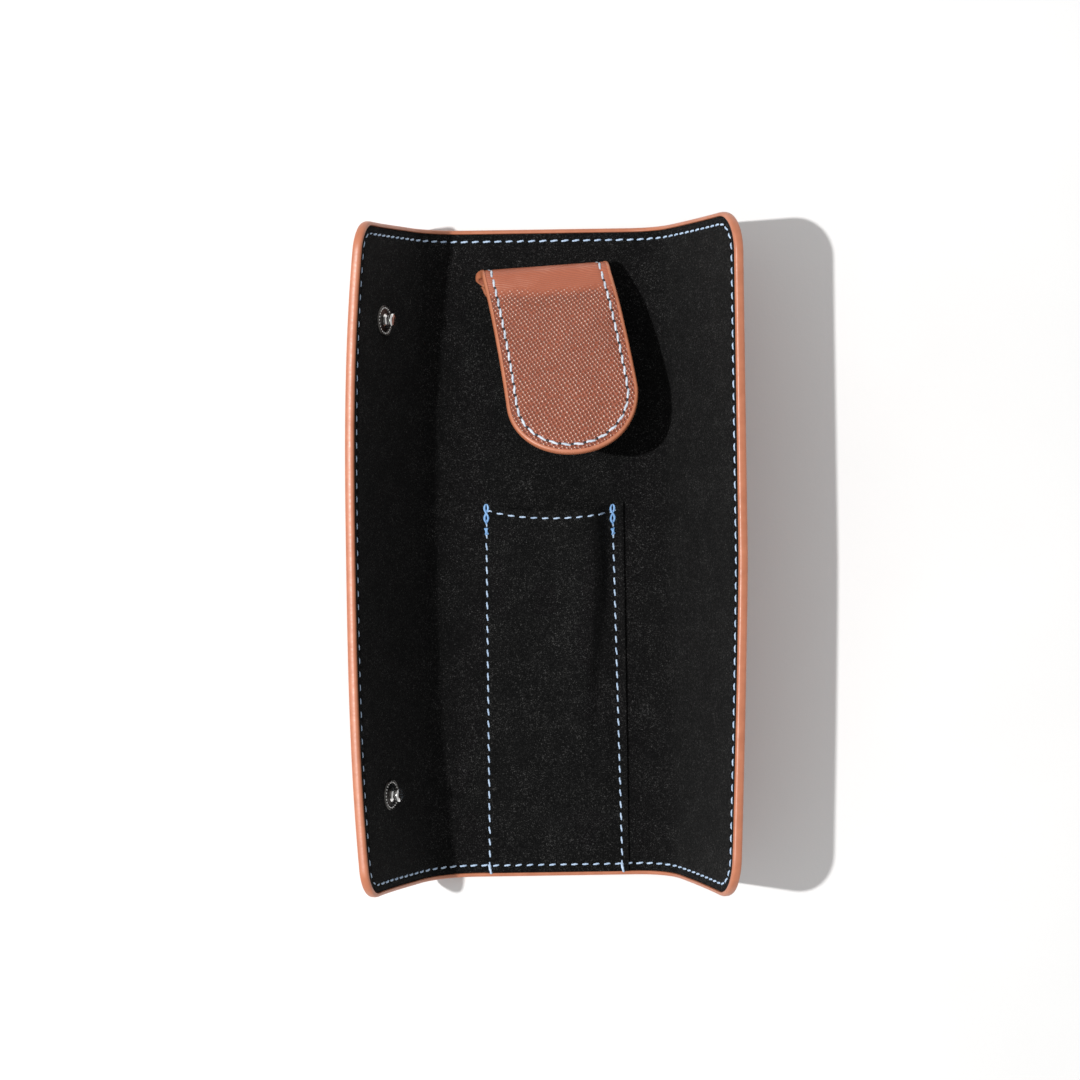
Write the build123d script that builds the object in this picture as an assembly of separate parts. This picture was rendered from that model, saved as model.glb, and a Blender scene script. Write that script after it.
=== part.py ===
from build123d import *
import math
import os

# An opened leather travel pouch for one pocket watch, in millimetres.
# It rests on the flat base. +X is to the right, +Y towards the keeper tab's fold, +Z up.
# The origin is the centre of the base's underside.

# ---- driving dimensions ----
LENGTH = 192.0             # along Y, from end to end
LEATHER = 1.1              # outer leather
BOARD = 0.8                # stiffener or interlining
LINING = 0.6               # microsuede
THICK = LEATHER + BOARD + LINING
MID = THICK / 2
EDGE_PAINT = 1.1           # width of the painted border
CORNER = 8.5               # outer corners of the flaps
BASE_HALF = 24.0           # from the centre to the first fold line, both sides
FULL_FOLD = 60.0           # turn of each fold line when the pouch is closed
WALL_RIGHT = 7.85          # each of the two strips of the right wall
SNAP_GAP = 2.9             # between the closed flaps, taken up by the snaps
WALL_LEFT = WALL_RIGHT + (THICK + SNAP_GAP) / (2 * math.sin(math.radians(FULL_FOLD)))
FLAP_LEFT = 36.4
FLAP_RIGHT = 44.1
REST_LEFT = (22.0, 22.0, 22.0)      # turn of each fold line as the pouch lies open
REST_RIGHT = (28.0, 24.0, 18.5)
FOLD_GAP = 0.05            # each side of a fold line

STITCH_INSET = 3.5         # seam line to outer edge
STITCH_PITCH = 3.6
STITCH = (2.4, 0.5, 0.25)  # length, width and height of one stitch
CLEAR = 0.02               # between a stitch or leg and what it lies on

STUD_Y = 68.2              # the two snaps sit at +Y and -Y of this
STUD_FROM_EDGE = 19.5      # stud centre to the left flap's outer edge
SNAP_FLANGE = 4.4          # radius
STUD_FLANGE_H = 0.5
STUD_NECK = 1.3
STUD_HEAD = 2.0
STUD_NECK_TOP = 2.2
STUD_TOP = 3.4
SOCKET_H = 2.2             # ring above the leather
SOCKET_BORE = 2.3
SOCKET_BARREL = 2.9        # radius, through the leather
SOCKET_DEPTH = 0.8         # bore floor below the leather's face
SOCKET_FLOOR = 0.2
SPRING_INNER = 1.6

POCKET_X = -0.8
POCKET_HALF = 21.2
POCKET_TOP = 11.8
POCKET_THICK = 0.7
POCKET_RISE = 1.8          # free height under the pocket, for the watch's ribbon
POCKET_MARGIN = 3.6        # sewn down flat on each side
POCKET_RAMP = 3.0
POCKET_HEEL = 4.0          # sewn down flat at the pouch's end

TAB_HALF = 18.7
TAB_LENGTH = 56.0          # from the fold to the rounded end
TAB_LAYER = 1.0            # outer leather and backing, each
TAB_INNER = 2.6            # inside radius of the rolled fold
TAB_FOLD_X = -1.2
TAB_FOLD_Y = 84.2          # outermost line of the fold
TAB_FOLD_TILT = 2.7        # the fold line's turn from the X axis
TAB_LEAN = 8.4             # the tab's turn from square to its fold line
TAB_RISE = 21.0            # slope of the tab as the pouch lies open
TAB_LEG = 3.4              # short leg sewn to the base
TAB_EDGE = 0.9
TAB_INSET = 2.9

SOLID_OUT = {}


# ---- plates: (s, t) is along the section and up through the thickness, t = 0 at the outer face ----
def bevel(t):
    """How far a plate stays back from a fold line, so that two meet when fully folded."""
    return FOLD_GAP + max(0.0, t - MID) * math.tan(math.radians(FULL_FOLD / 2))


def section(s0, s1, t0, t1, fold0, fold1):
    """Cross-section of one layer from s0 to s1, bevelled at whichever ends are fold lines."""
    heights = [t0] + ([MID] if t0 < MID < t1 else []) + [t1]
    left = [(s0 + (bevel(t) if fold0 else 0.0), t - MID) for t in heights]
    right = [(s1 - (bevel(t) if fold1 else 0.0), t - MID) for t in heights]
    return left + right[::-1]


def extruded(points, half_length):
    """A section in X and Z, carried both ways along Y."""
    face = make_face(Polyline(*[(x, 0, z) for x, z in points], close=True))
    return extrude(face, amount=half_length, dir=(0, 1, 0), both=True)


def outline(s1, inset, rounded):
    """Plan of a segment that starts at s = 0; a flap has two rounded outer corners."""
    half = LENGTH / 2 - inset
    far = s1 - (inset if rounded else 0.0)
    start = -4.0
    plan = Pos((start + far) / 2, 0) * Rectangle(far - start, 2 * half)
    if rounded:
        outer = plan.vertices().group_by(Axis.X)[-1]
        plan = fillet(outer, CORNER - inset)
    return extrude(plan, amount=2 * THICK, both=True)


def segment(width, kind):
    """The five pieces of one segment, flat, with its first fold line along the Y axis."""
    flap = kind == "flap"
    start = -width if kind == "base" else 0.0
    core = "board" if kind in ("base", "flap") else "interlining"
    cut = outline(width, EDGE_PAINT, flap)
    whole = outline(width, 0.0, flap)
    if kind == "base":
        cut += mirror(cut, about=Plane.YZ)
        whole += mirror(whole, about=Plane.YZ)
    levels = {
        "leather": (0.0, LEATHER),
        core: (LEATHER, LEATHER + BOARD),
        "lining": (LEATHER + BOARD, THICK),
    }
    pieces = {}
    for name, (t0, t1) in levels.items():
        slab = extruded(section(start, width, t0, t1, True, not flap), LENGTH / 2)
        pieces[name] = slab & cut
    slab = extruded(section(start, width, 0.0, THICK, True, not flap), LENGTH / 2)
    pieces["edge_paint"] = (slab & whole) - cut
    return pieces


def stitch(x, y, angle, z):
    """One stitch lying at (x, y), turned by angle, on a face at height z."""
    return Pos(x, y, z + CLEAR + STITCH[2] / 2) * Rot(0, 0, angle) * Box(*STITCH)


def row(start, end, z):
    """A straight row of stitches between two points, evenly spread."""
    (x0, y0), (x1, y1) = start, end
    length = math.hypot(x1 - x0, y1 - y0)
    angle = math.degrees(math.atan2(y1 - y0, x1 - x0))
    count = max(1, round(length / STITCH_PITCH))
    steps = [(i + 0.5) / count for i in range(count)]
    return [stitch(x0 + (x1 - x0) * k, y0 + (y1 - y0) * k, angle, z) for k in steps]


def arc_row(centre, radius, first, last, z):
    """Stitches around an arc, from one angle to another in degrees."""
    count = max(1, round(math.radians(abs(last - first)) * radius / STITCH_PITCH))
    angles = [first + (last - first) * (i + 0.5) / count for i in range(count)]
    return [
        stitch(
            centre[0] + radius * math.cos(math.radians(a)),
            centre[1] + radius * math.sin(math.radians(a)),
            a + 90,
            z,
        )
        for a in angles
    ]


def end_rows(s0, s1, z):
    """The seam across both ends of a segment."""
    seam = LENGTH / 2 - STITCH_INSET
    return row((s0, seam), (s1, seam), z) + row((s0, -seam), (s1, -seam), z)


def seam(width, kind):
    """The perimeter stitches on one segment's lining, flat."""
    z = THICK - MID
    if kind == "wall":
        return end_rows(1.0, width - 1.0, z)
    if kind == "flap":
        straight = width - CORNER
        half = LENGTH / 2 - CORNER
        radius = CORNER - STITCH_INSET
        return (
            end_rows(1.0, straight, z)
            + arc_row((straight, half), radius, 90, 0, z)
            + arc_row((straight, -half), radius, -90, 0, z)
            + row((width - STITCH_INSET, -half), (width - STITCH_INSET, half), z)
        )
    line = LENGTH / 2 - STITCH_INSET
    left, right = POCKET_X - POCKET_HALF, POCKET_X + POCKET_HALF
    return (
        row((1.0 - width, line), (width - 1.0, line), z)
        + row((left + 0.3, -line), (right - 0.3, -line), z + POCKET_THICK)
    )


def place(pieces, where, left):
    """Pieces made for the right side, put where they stand, mirrored for the left."""
    moved = {n: where * p for n, p in pieces.items()}
    return {n: mirror(p, about=Plane.YZ) for n, p in moved.items()} if left else moved


def side(name, wall, flap, rest):
    """The two wall strips and the flap of one side, and each one's place."""
    x, z, slope = BASE_HALF, MID, 0.0
    places = {}
    for part, width, turn in zip(("lower_wall", "upper_wall", "flap"), (wall, wall, flap), rest):
        slope += turn
        where = Pos(x, 0, z) * Rot(0, -slope, 0)
        kind = "flap" if part == "flap" else "wall"
        pieces = segment(width, kind)
        pieces["seam_thread"] = Compound(children=seam(width, kind))
        places[part] = where
        if (name, part) == ("right", "flap"):
            pieces = with_socket_holes(pieces)
        if (name, part) == ("left", "flap"):
            pieces = with_stud_holes(pieces)
        for piece, solid in place(pieces, where, name == "left").items():
            SOLID_OUT[f"{name}_{part}_{piece}"] = solid
        x += width * math.cos(math.radians(slope))
        z += width * math.sin(math.radians(slope))
    return places["flap"]


# ---- snaps ----
STUD_S = FLAP_LEFT - STUD_FROM_EDGE
SOCKET_S = 2 * BASE_HALF - STUD_S


def disc(radius, z0, z1):
    return Pos(0, 0, (z0 + z1) / 2) * Cylinder(radius, z1 - z0)


def at_snaps(solid, s):
    """Both snaps of a flap, at distance s from its fold line."""
    return [Pos(s, y, 0) * solid for y in (-STUD_Y, STUD_Y)]


def without(piece, holes):
    for hole in holes:
        piece = piece - hole
    return piece


def with_stud_holes(pieces):
    """Room for the rivet behind each stud, hidden between leather and lining."""
    stem = disc(STUD_NECK, LEATHER - MID, THICK)
    back = disc(3.2, LEATHER - MID, LEATHER + BOARD - MID)
    for name in ("board", "lining"):
        holes = at_snaps(back if name == "board" else stem, STUD_S)
        pieces[name] = without(pieces[name], holes)
    return pieces


def with_socket_holes(pieces):
    """Room for each socket's barrel in the leather, and for its cap in the board."""
    barrel = disc(SOCKET_BARREL, -THICK, LEATHER - MID)
    cap = disc(3.9, LEATHER - MID, LEATHER + BOARD - MID)
    pieces["leather"] = without(pieces["leather"], at_snaps(barrel, SOCKET_S))
    pieces["board"] = without(pieces["board"], at_snaps(cap, SOCKET_S))
    return pieces


def stud():
    """Flange, neck and rounded head, standing on the lining."""
    face = THICK - MID
    head = disc(STUD_HEAD, face + STUD_NECK_TOP, face + STUD_TOP)
    head = fillet(head.edges().group_by(Axis.Z)[-1], 0.7)
    flange = disc(SNAP_FLANGE, face, face + STUD_FLANGE_H)
    flange = fillet(flange.edges().group_by(Axis.Z)[-1], 0.2)
    return flange + disc(STUD_NECK, face + STUD_FLANGE_H, face + STUD_NECK_TOP) + head


def rivet():
    """Post behind the stud: a disc on the leather's inner face and a stem through the lining."""
    floor, top = LEATHER - MID, LEATHER + BOARD - MID
    return disc(3.2, floor, top) + disc(STUD_NECK, top, THICK - MID)


def socket():
    """Ring on the leather's outer face, with a closed barrel through it."""
    face = -MID
    ring = disc(SNAP_FLANGE, face - SOCKET_H, face)
    ring = fillet(ring.edges().group_by(Axis.Z)[0], 0.6)
    barrel = disc(SOCKET_BARREL, face, face + SOCKET_DEPTH + SOCKET_FLOOR)
    bore = disc(SOCKET_BORE, face - SOCKET_H - 1, face + SOCKET_DEPTH)
    return ring + barrel - bore


def spring():
    """The wire ring in the socket that grips the stud's neck."""
    level = -MID - 1.45
    return disc(SOCKET_BORE - 0.02, level - 0.25, level + 0.25) - disc(SPRING_INNER, -9, 9)


def cap():
    """The disc that the socket's barrel is riveted to."""
    return disc(3.9, LEATHER - MID, LEATHER + BOARD - MID)


def snaps(left_place, right_place):
    fittings = {
        "snap_studs": (stud(), STUD_S, True),
        "stud_rivets": (rivet(), STUD_S, True),
        "snap_sockets": (socket(), SOCKET_S, False),
        "socket_springs": (spring(), SOCKET_S, False),
        "socket_caps": (cap(), SOCKET_S, False),
    }
    for name, (solid, s, left) in fittings.items():
        pair = [(left_place if left else right_place) * p for p in at_snaps(solid, s)]
        if left:
            pair = [mirror(p, about=Plane.YZ) for p in pair]
        SOLID_OUT[name] = Compound(children=pair)


# ---- pocket ----
def pocket():
    """A panel sewn down on three sides, standing a little proud between its seams."""
    low, high = THICK, THICK + POCKET_RISE
    flat = POCKET_HALF - POCKET_MARGIN
    crown = flat - POCKET_RAMP
    rise = [(-flat, low), (-crown, high), (crown, high), (flat, low)]
    under = [(-POCKET_HALF, low), *rise, (POCKET_HALF, low)]
    over = [(x, z + POCKET_THICK) for x, z in under[::-1]]
    heel_y = -LENGTH / 2 + EDGE_PAINT + POCKET_HEEL
    body = extruded(under + over, (POCKET_TOP - heel_y) / 2)
    body = Pos(0, (POCKET_TOP + heel_y) / 2, 0) * body
    plug = Pos(0, heel_y + 0.5, 0) * extruded(rise, 0.5)
    heel = Box(2 * POCKET_HALF, POCKET_HEEL, POCKET_THICK)
    heel = Pos(0, heel_y - POCKET_HEEL / 2, low + POCKET_THICK / 2) * heel
    whole = body + plug + heel
    return Pos(POCKET_X, 0, 0) * whole


def pocket_threads():
    """Stitches down both sides and along the hem."""
    z = THICK + POCKET_THICK
    line = POCKET_HALF - 2.2
    low, high = -LENGTH / 2 + STITCH_INSET + 2.0, POCKET_TOP - 5.4
    sides = row((-line, low), (-line, high), z) + row((line, low), (line, high), z)
    crown = POCKET_HALF - POCKET_MARGIN - POCKET_RAMP
    hem = row((-crown, POCKET_TOP - 2.0), (crown, POCKET_TOP - 2.0), z + POCKET_RISE)
    return [Pos(POCKET_X, 0, 0) * s for s in sides + hem]


def bartacks():
    """The dense stitches at the pocket's two upper corners."""
    z = THICK + POCKET_THICK + CLEAR + STITCH[2]
    line = POCKET_HALF - 2.2
    bar = Box(0.9, 4.6, 2 * STITCH[2])
    return [Pos(POCKET_X + x, POCKET_TOP - 2.8, z) * bar for x in (-line, line)]


# ---- keeper tab, in its own frame: X along the fold line, origin in the middle of the roll ----
TAB_OUTER = TAB_INNER + 2 * TAB_LAYER
TAB_CENTRE = (TAB_FOLD_X, TAB_FOLD_Y - TAB_OUTER, THICK + CLEAR + TAB_OUTER)


def roll():
    """The rolled fold, from the sewn leg round to the foot of the tab."""
    ring = Cylinder(TAB_OUTER, 2 * TAB_HALF, rotation=(0, 90, 0))
    ring -= Cylinder(TAB_INNER, 2 * TAB_HALF, rotation=(0, 90, 0))
    top = 90.0 - TAB_RISE
    reach = 3 * TAB_OUTER
    rays = [-90.0 + k * (top + 90.0) / 4 for k in range(5)]
    rim = [(0, reach * math.cos(math.radians(a)), reach * math.sin(math.radians(a))) for a in rays]
    face = make_face(Polyline((0, 0, 0), *rim, close=True))
    return ring & extrude(face, amount=TAB_HALF, dir=(1, 0, 0), both=True)


def tab_plan(inset):
    """The tab's outline, lying flat: it runs towards -Y from its foot and ends in a half round."""
    lean = math.radians(TAB_LEAN)
    run = (TAB_LENGTH - TAB_HALF) / math.cos(lean)
    cx, cy = run * math.sin(lean), -run * math.cos(lean)
    radius = TAB_HALF - inset
    dx, dy = radius * math.cos(lean), radius * math.sin(lean)
    foot = radius / math.cos(lean)
    sides = Polyline((-foot, 0), (foot, 0), (cx + dx, cy + dy))
    end = ThreePointArc(
        (cx + dx, cy + dy),
        (cx + radius * math.sin(lean), cy - radius * math.cos(lean)),
        (cx - dx, cy - dy),
    )
    back = Line((cx - dx, cy - dy), (-foot, 0))
    return make_face(sides + end + back)


def tab_slab(plan, z0, z1):
    return Pos(0, 0, z0) * extrude(plan, amount=z1 - z0)


def tab_stitches():
    """Stitches down one side, round the end and up the other, on the tab's face."""
    lean = math.radians(TAB_LEAN)
    run = (TAB_LENGTH - TAB_HALF) / math.cos(lean)
    cx, cy = run * math.sin(lean), -run * math.cos(lean)
    radius = TAB_HALF - TAB_INSET
    dx, dy = radius * math.cos(lean), radius * math.sin(lean)
    foot = radius / math.cos(lean)
    first = 180.0 + TAB_LEAN
    return (
        row((-foot, 0), (cx - dx, cy - dy), 0.0)
        + arc_row((cx, cy), radius, first, first + 180.0, 0.0)
        + row((cx + dx, cy + dy), (foot, 0), 0.0)
    )


def tab():
    """The raised tab, its rolled fold and the leg sewn to the base."""
    whole = Pos(*TAB_CENTRE) * Rot(0, 0, TAB_FOLD_TILT)
    raised = whole * Rot(-TAB_RISE, 0, 0) * Pos(0, 0, TAB_OUTER)
    inner, outer = tab_plan(TAB_EDGE), tab_plan(0.0)
    foot = Pos(0, 20, 0) * Box(4 * TAB_HALF, 40, 8)
    ring = tab_slab(outer, -2 * TAB_LAYER, 0) - tab_slab(inner, -3, 1)
    leg = Pos(0, -TAB_LEG / 2, -TAB_OUTER + TAB_LAYER) * Box(2 * TAB_HALF, TAB_LEG, 2 * TAB_LAYER)
    seam_end = TAB_HALF - TAB_INSET
    leg_row = row((-seam_end, -TAB_LEG / 2), (seam_end, -TAB_LEG / 2), -TAB_INNER)
    SOLID_OUT["tab_leather"] = raised * (tab_slab(inner, -TAB_LAYER, 0) - foot)
    SOLID_OUT["tab_backing"] = raised * (tab_slab(inner, -2 * TAB_LAYER, -TAB_LAYER) - foot)
    SOLID_OUT["tab_edge_paint"] = raised * (ring - foot)
    SOLID_OUT["tab_thread"] = Compound(children=[raised * s for s in tab_stitches()])
    SOLID_OUT["tab_fold"] = whole * roll()
    SOLID_OUT["tab_leg"] = whole * leg
    SOLID_OUT["tab_leg_thread"] = Compound(children=[whole * s for s in leg_row])


def base():
    where = Pos(0, 0, MID)
    pieces = segment(BASE_HALF, "base")
    pieces["seam_thread"] = Compound(children=seam(BASE_HALF, "base"))
    for piece, solid in pieces.items():
        SOLID_OUT[f"base_{piece}"] = where * solid
    SOLID_OUT["strap_pocket"] = pocket()
    SOLID_OUT["pocket_thread"] = Compound(children=pocket_threads())
    SOLID_OUT["pocket_bartacks"] = Compound(children=bartacks())


base()
left_flap = side("left", WALL_LEFT, FLAP_LEFT, REST_LEFT)
right_flap = side("right", WALL_RIGHT, FLAP_RIGHT, REST_RIGHT)
snaps(left_flap, right_flap)
tab()

os.makedirs("parts", exist_ok=True)
for node, solid in SOLID_OUT.items():
    export_step(solid, f"parts/{node}.step")
print(len(SOLID_OUT), "nodes")
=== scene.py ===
import math

import bmesh
import bpy
import numpy as np
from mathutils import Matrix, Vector, geometry


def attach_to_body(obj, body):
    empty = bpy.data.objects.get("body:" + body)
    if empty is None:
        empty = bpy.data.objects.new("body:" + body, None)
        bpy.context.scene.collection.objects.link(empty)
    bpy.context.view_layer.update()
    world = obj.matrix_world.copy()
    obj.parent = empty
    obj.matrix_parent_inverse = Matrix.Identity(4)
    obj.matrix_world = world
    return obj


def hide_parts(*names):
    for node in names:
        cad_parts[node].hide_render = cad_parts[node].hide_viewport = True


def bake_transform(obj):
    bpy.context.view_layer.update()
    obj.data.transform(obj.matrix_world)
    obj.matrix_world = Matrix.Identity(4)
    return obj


# Travel pouch for a pocket watch, lying open. Lengths are millimetres until they reach a mesh:
# MM turns them into the frame's metres. Materials are in metres. The skins are modelled flat,
# in (s, y, t): s runs across the pouch from its middle, y along it, and t up through the
# thickness from the outer leather. A side's map() bends them into the shape they rest in.

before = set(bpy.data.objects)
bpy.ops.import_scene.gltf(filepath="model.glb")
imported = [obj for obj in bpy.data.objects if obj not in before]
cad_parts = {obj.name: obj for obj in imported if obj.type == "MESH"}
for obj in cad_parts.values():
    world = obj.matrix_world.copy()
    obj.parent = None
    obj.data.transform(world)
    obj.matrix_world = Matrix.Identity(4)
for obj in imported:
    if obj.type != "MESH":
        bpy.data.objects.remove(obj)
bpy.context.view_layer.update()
NODES = set(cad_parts)
ZONES = ("lower_wall", "upper_wall", "flap")

MM = 0.001
THICK = 2.5                # leather and lining together
MID = THICK / 2
LINING_FLOOR = 1.5         # leather below, lining above
HALF = 96.0                # half the length along Y
PAINT = 1.1                # width of the painted border
EDGE_BEAD = 0.14           # how far the paint stands proud of a face
INSET = 3.5                # from the edge to the seam
END_PITCH = 3.3            # of the seam along both ends
rng = np.random.default_rng(7)


def jitter(scale):
    return float(rng.uniform(-scale, scale))


# ---- meshes ----
def place(name, data):
    obj = bpy.data.objects.new(name, data)
    bpy.context.scene.collection.objects.link(obj)
    return obj


def make(name, shape, material, sharp=40.0):
    """A mesh object from points, faces and, if the surface has a grain, flat places."""
    verts, faces, *flat = shape
    mesh = bpy.data.meshes.new(name)
    mesh.from_pydata((np.asarray(verts, float) * MM).tolist(), [], [tuple(f) for f in faces])
    mesh.validate()
    work = bmesh.new()
    work.from_mesh(mesh)
    bmesh.ops.recalc_face_normals(work, faces=work.faces)
    work.to_mesh(mesh)
    work.free()
    mesh.polygons.foreach_set("use_smooth", [True] * len(mesh.polygons))
    mesh.set_sharp_from_angle(angle=math.radians(sharp))
    if flat:
        corners = np.zeros(len(mesh.loops), np.int32)
        mesh.loops.foreach_get("vertex_index", corners)
        layer = mesh.uv_layers.new(name="flat")
        layer.data.foreach_set("uv", (np.asarray(flat[0], float)[corners] * MM).ravel())
    mesh.materials.append(material)
    mesh.update()
    return place(name, mesh)


def ride(body):
    return lambda part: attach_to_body(part, body)


def settle(part, attach, slot, *replaced):
    """Attach a piece and hide the CAD solids it replaces; its slot is not used."""
    attach(part)
    if replaced:
        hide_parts(*replaced)


class Soup:
    """Collects pieces of mesh into one."""

    def __init__(self):
        self.verts = []
        self.faces = []

    def add(self, verts, faces):
        base = len(self.verts)
        self.verts.extend([tuple(v) for v in verts])
        self.faces.extend([tuple(i + base for i in f) for f in faces])

    def make(self, name, material, sharp=40.0):
        return make(name, (self.verts, self.faces), material, sharp)


def smoothstep(x, a, b):
    t = np.clip((np.asarray(x, float) - a) / (b - a), 0, 1)
    return t * t * (3 - 2 * t)


def groove(depth, distance, width):
    """Depth of a soft groove at a distance from its middle."""
    return depth * np.exp(-((distance / width) ** 2))


def level(t):
    """A face that is t high everywhere."""
    return lambda s, y: np.full(np.shape(s), t)


def tube(rings, closed=False):
    """Faces between rings of equal size; the ends are capped unless the tube is closed."""
    count, size = len(rings), len(rings[0])
    verts = [p for ring in rings for p in ring]
    faces = []
    for i in range(count if closed else count - 1):
        j = (i + 1) % count
        for k in range(size):
            m = (k + 1) % size
            faces.append((i * size + k, i * size + m, j * size + m, j * size + k))
    if not closed:
        faces.append(tuple(range(size))[::-1])
        faces.append(tuple((count - 1) * size + k for k in range(size)))
    return verts, faces


MERGE = 1e-5               # points closer than this are one
SLIVER = 1e-4              # twice the area of a triangle that is too thin to keep


def slab(points, low, high, bend):
    """A closed solid over flat points. low and high give t at a point, bend maps (s, y, t)."""
    flat = [Vector((float(s), float(y))) for s, y in points]
    out, _, tris, *_ = geometry.delaunay_2d_cdt(flat, [], [], 0, MERGE)
    s = np.array([v.x for v in out])
    y = np.array([v.y for v in out])

    def area(f):
        a, b, c = f
        return (s[b] - s[a]) * (y[c] - y[a]) - (s[c] - s[a]) * (y[b] - y[a])

    tris = [tuple(f if area(f) > 0 else f[::-1]) for f in tris if abs(area(f)) > SLIVER]
    n = len(s)
    verts = np.vstack([bend(s, y, high(s, y)), bend(s, y, low(s, y))])
    edges = dict.fromkeys(e for a, b, c in tris for e in ((a, b), (b, c), (c, a)))
    rim = [(a, b) for a, b in edges if (b, a) not in edges]
    faces = tris + [tuple(n + i for i in f[::-1]) for f in tris]
    faces += [(a, n + a, n + b, b) for a, b in rim]
    return verts, faces, np.stack([np.tile(s, 2), np.tile(y, 2)], axis=1)


# ---- the side walls and flaps ----
LEAD = 5.0                 # a side's skins begin this far before its bend, on the base
SPLIT_Y = 40.0             # where along the pouch the skins are matched to the frame's strips
WALL_SEARCH = np.linspace(15, 60, 901)  # arc lengths, over the walls
FLAP_SEARCH = np.linspace(40, 80, 1601)  # and over the flaps


class Side:
    """Smooth shape of one side at rest, and its three fold lines.

    The skin bends from start over radius to its lean, given in degrees at +Y, in the middle
    and at -Y. A higher bow keeps the middle's lean nearer to the ends. From there on the skin
    turns further in on the radius steepen. Beyond flare the flap is shortened along Y by the
    share taper. folds and slopes are those of the frame's strips, half would be half the width
    that a fold line bends over but is not used, corner rounds the flap, and pitch is of the
    seam along its edge.
    """

    def __init__(self, name, sign, *, start, radius, lean, bow, steepen, length, flare, taper,
                 corner, folds, slopes, half, pitch):
        self.name, self.sign = name, sign
        self.start, self.radius, self.lean, self.bow = start, radius, lean, bow
        self.steepen, self.length, self.flare, self.taper = steepen, length, flare, taper
        self.corner, self.folds, self.slopes, self.half = corner, folds, slopes, half
        self.pitch = pitch
        self.first = start - LEAD
        self.splits = [self.nearest(k) for k in (0, 1)]

    def lean_at(self, y):
        """Slope after the bend, in radians: it differs a little along the pouch."""
        v = np.clip(np.asarray(y, float) / HALF, -1, 1)
        top, middle, bottom = self.lean
        end = np.where(v > 0, top, bottom)
        return np.radians(middle + (end - middle) * np.abs(v) ** self.bow)

    def curve(self, s, y):
        """Mid-surface x and z, and the slope, at arc length s."""
        s = np.asarray(s, float)
        turn = self.lean_at(y)
        a = np.clip((s - self.start) / self.radius, 0, turn)
        x = np.minimum(s, self.start) + self.radius * np.sin(a)
        z = MID + self.radius * (1 - np.cos(a))
        rest = np.maximum(s - (self.start + self.radius * turn), 0)
        slope = a + rest / self.steepen
        x = x + np.where(rest > 0, self.steepen * (np.sin(slope) - np.sin(turn)), 0)
        z = z + np.where(rest > 0, self.steepen * (np.cos(turn) - np.cos(slope)), 0)
        return x, z, slope

    def map(self, s, y, t):
        s, y, t = (np.asarray(v, float) for v in (s, y, t))
        x, z, slope = self.curve(s, y)
        y = y * (1 - self.taper * smoothstep(s, self.flare, self.length))
        x = x - (t - MID) * np.sin(slope)
        z = z + (t - MID) * np.cos(slope)
        return np.stack([self.sign * x, y, z], axis=-1)

    def nearest(self, k):
        """Arc length where the skin passes the middle of the strip after fold k."""
        (x0, z0), (x1, z1) = self.folds[k], self.folds[k + 1]
        x, z, _ = self.curve(WALL_SEARCH, SPLIT_Y)
        away = (x - (x0 + x1) / 2) ** 2 + (z - (z0 + z1) / 2) ** 2
        return float(WALL_SEARCH[np.argmin(away)])

    def zone(self, k):
        return ([self.first] + self.splits + [self.length])[k : k + 2]

    def attach(self, k):
        """What attaches a piece of zone k: it only bakes the piece's transform, and k is not used.
        """
        return lambda part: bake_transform(part)


def fold_points(x, z, width, slopes):
    """Fold lines of the frame, from the width of its wall strips and their slopes."""
    points = [(x, z)]
    for a in slopes:
        x += width * math.cos(math.radians(a))
        z += width * math.sin(math.radians(a))
        points.append((x, z))
    return points


FOLD_X = 24.0              # the lowest fold line of each side
SNAP_GAP = 2.9             # between the closed flaps, taken up by the snaps
FULL_FOLD = math.radians(60)    # turn of each fold line when the pouch is closed
WALL_RIGHT = 7.85          # width of a wall strip
WALL_LEFT = WALL_RIGHT + (THICK + SNAP_GAP) / (2 * math.sin(FULL_FOLD))
SLOPES_LEFT = (0, 22, 44, 66)
SLOPES_RIGHT = (0, 28, 52, 70.5)
LEFT = Side(
    "left", -1, start=23.8, radius=19.15, lean=(66.4, 59.0, 64.6), bow=2.8, steepen=198.0,
    length=84.2, flare=40, taper=0.011, corner=8.5, half=4.3, pitch=3.8,
    folds=fold_points(FOLD_X, MID, WALL_LEFT, SLOPES_LEFT[1:3]), slopes=SLOPES_LEFT,
)
RIGHT = Side(
    "right", 1, start=23.4, radius=14.05, lean=(63.3, 63.4, 68.8), bow=1.2, steepen=285.0,
    length=82.9, flare=22, taper=-0.004, corner=12.0, half=2.9, pitch=3.5,
    folds=fold_points(FOLD_X, MID, WALL_RIGHT, SLOPES_RIGHT[1:3]), slopes=SLOPES_RIGHT,
)
SIDES = (LEFT, RIGHT)


def flat_map(s, y, t):
    return np.stack(np.broadcast_arrays(*(np.asarray(v, float) for v in (s, y, t))), axis=-1)


# ---- flat plans ----
RINGS = (1.1, 1.45, 1.9, 2.5, 2.95, 3.2, 3.5, 3.8, 4.05, 4.6, 5.6, 7.2)  # in from the edge
INNER = np.linspace(-HALF + 9.5, HALF - 9.5, 61)  # y of the points inside the rings
BASE_STEP = 3.0            # between rows of points on the base
WALL_STEP = 1.1
FLAP_STEP = 1.3
FAR_STEP = 3               # between points of a path along a flap's far edge


def strip_points(s0, s1, step):
    """Points over a strip that runs the whole length of the pouch."""
    rows = np.linspace(s0, s1, max(2, round((s1 - s0) / step)) + 1)
    outer = [sign * (HALF - r) for r in RINGS for sign in (-1, 1)]
    columns = np.sort(np.concatenate([INNER, outer]))
    return [(s, y) for s in rows for y in columns]


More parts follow.
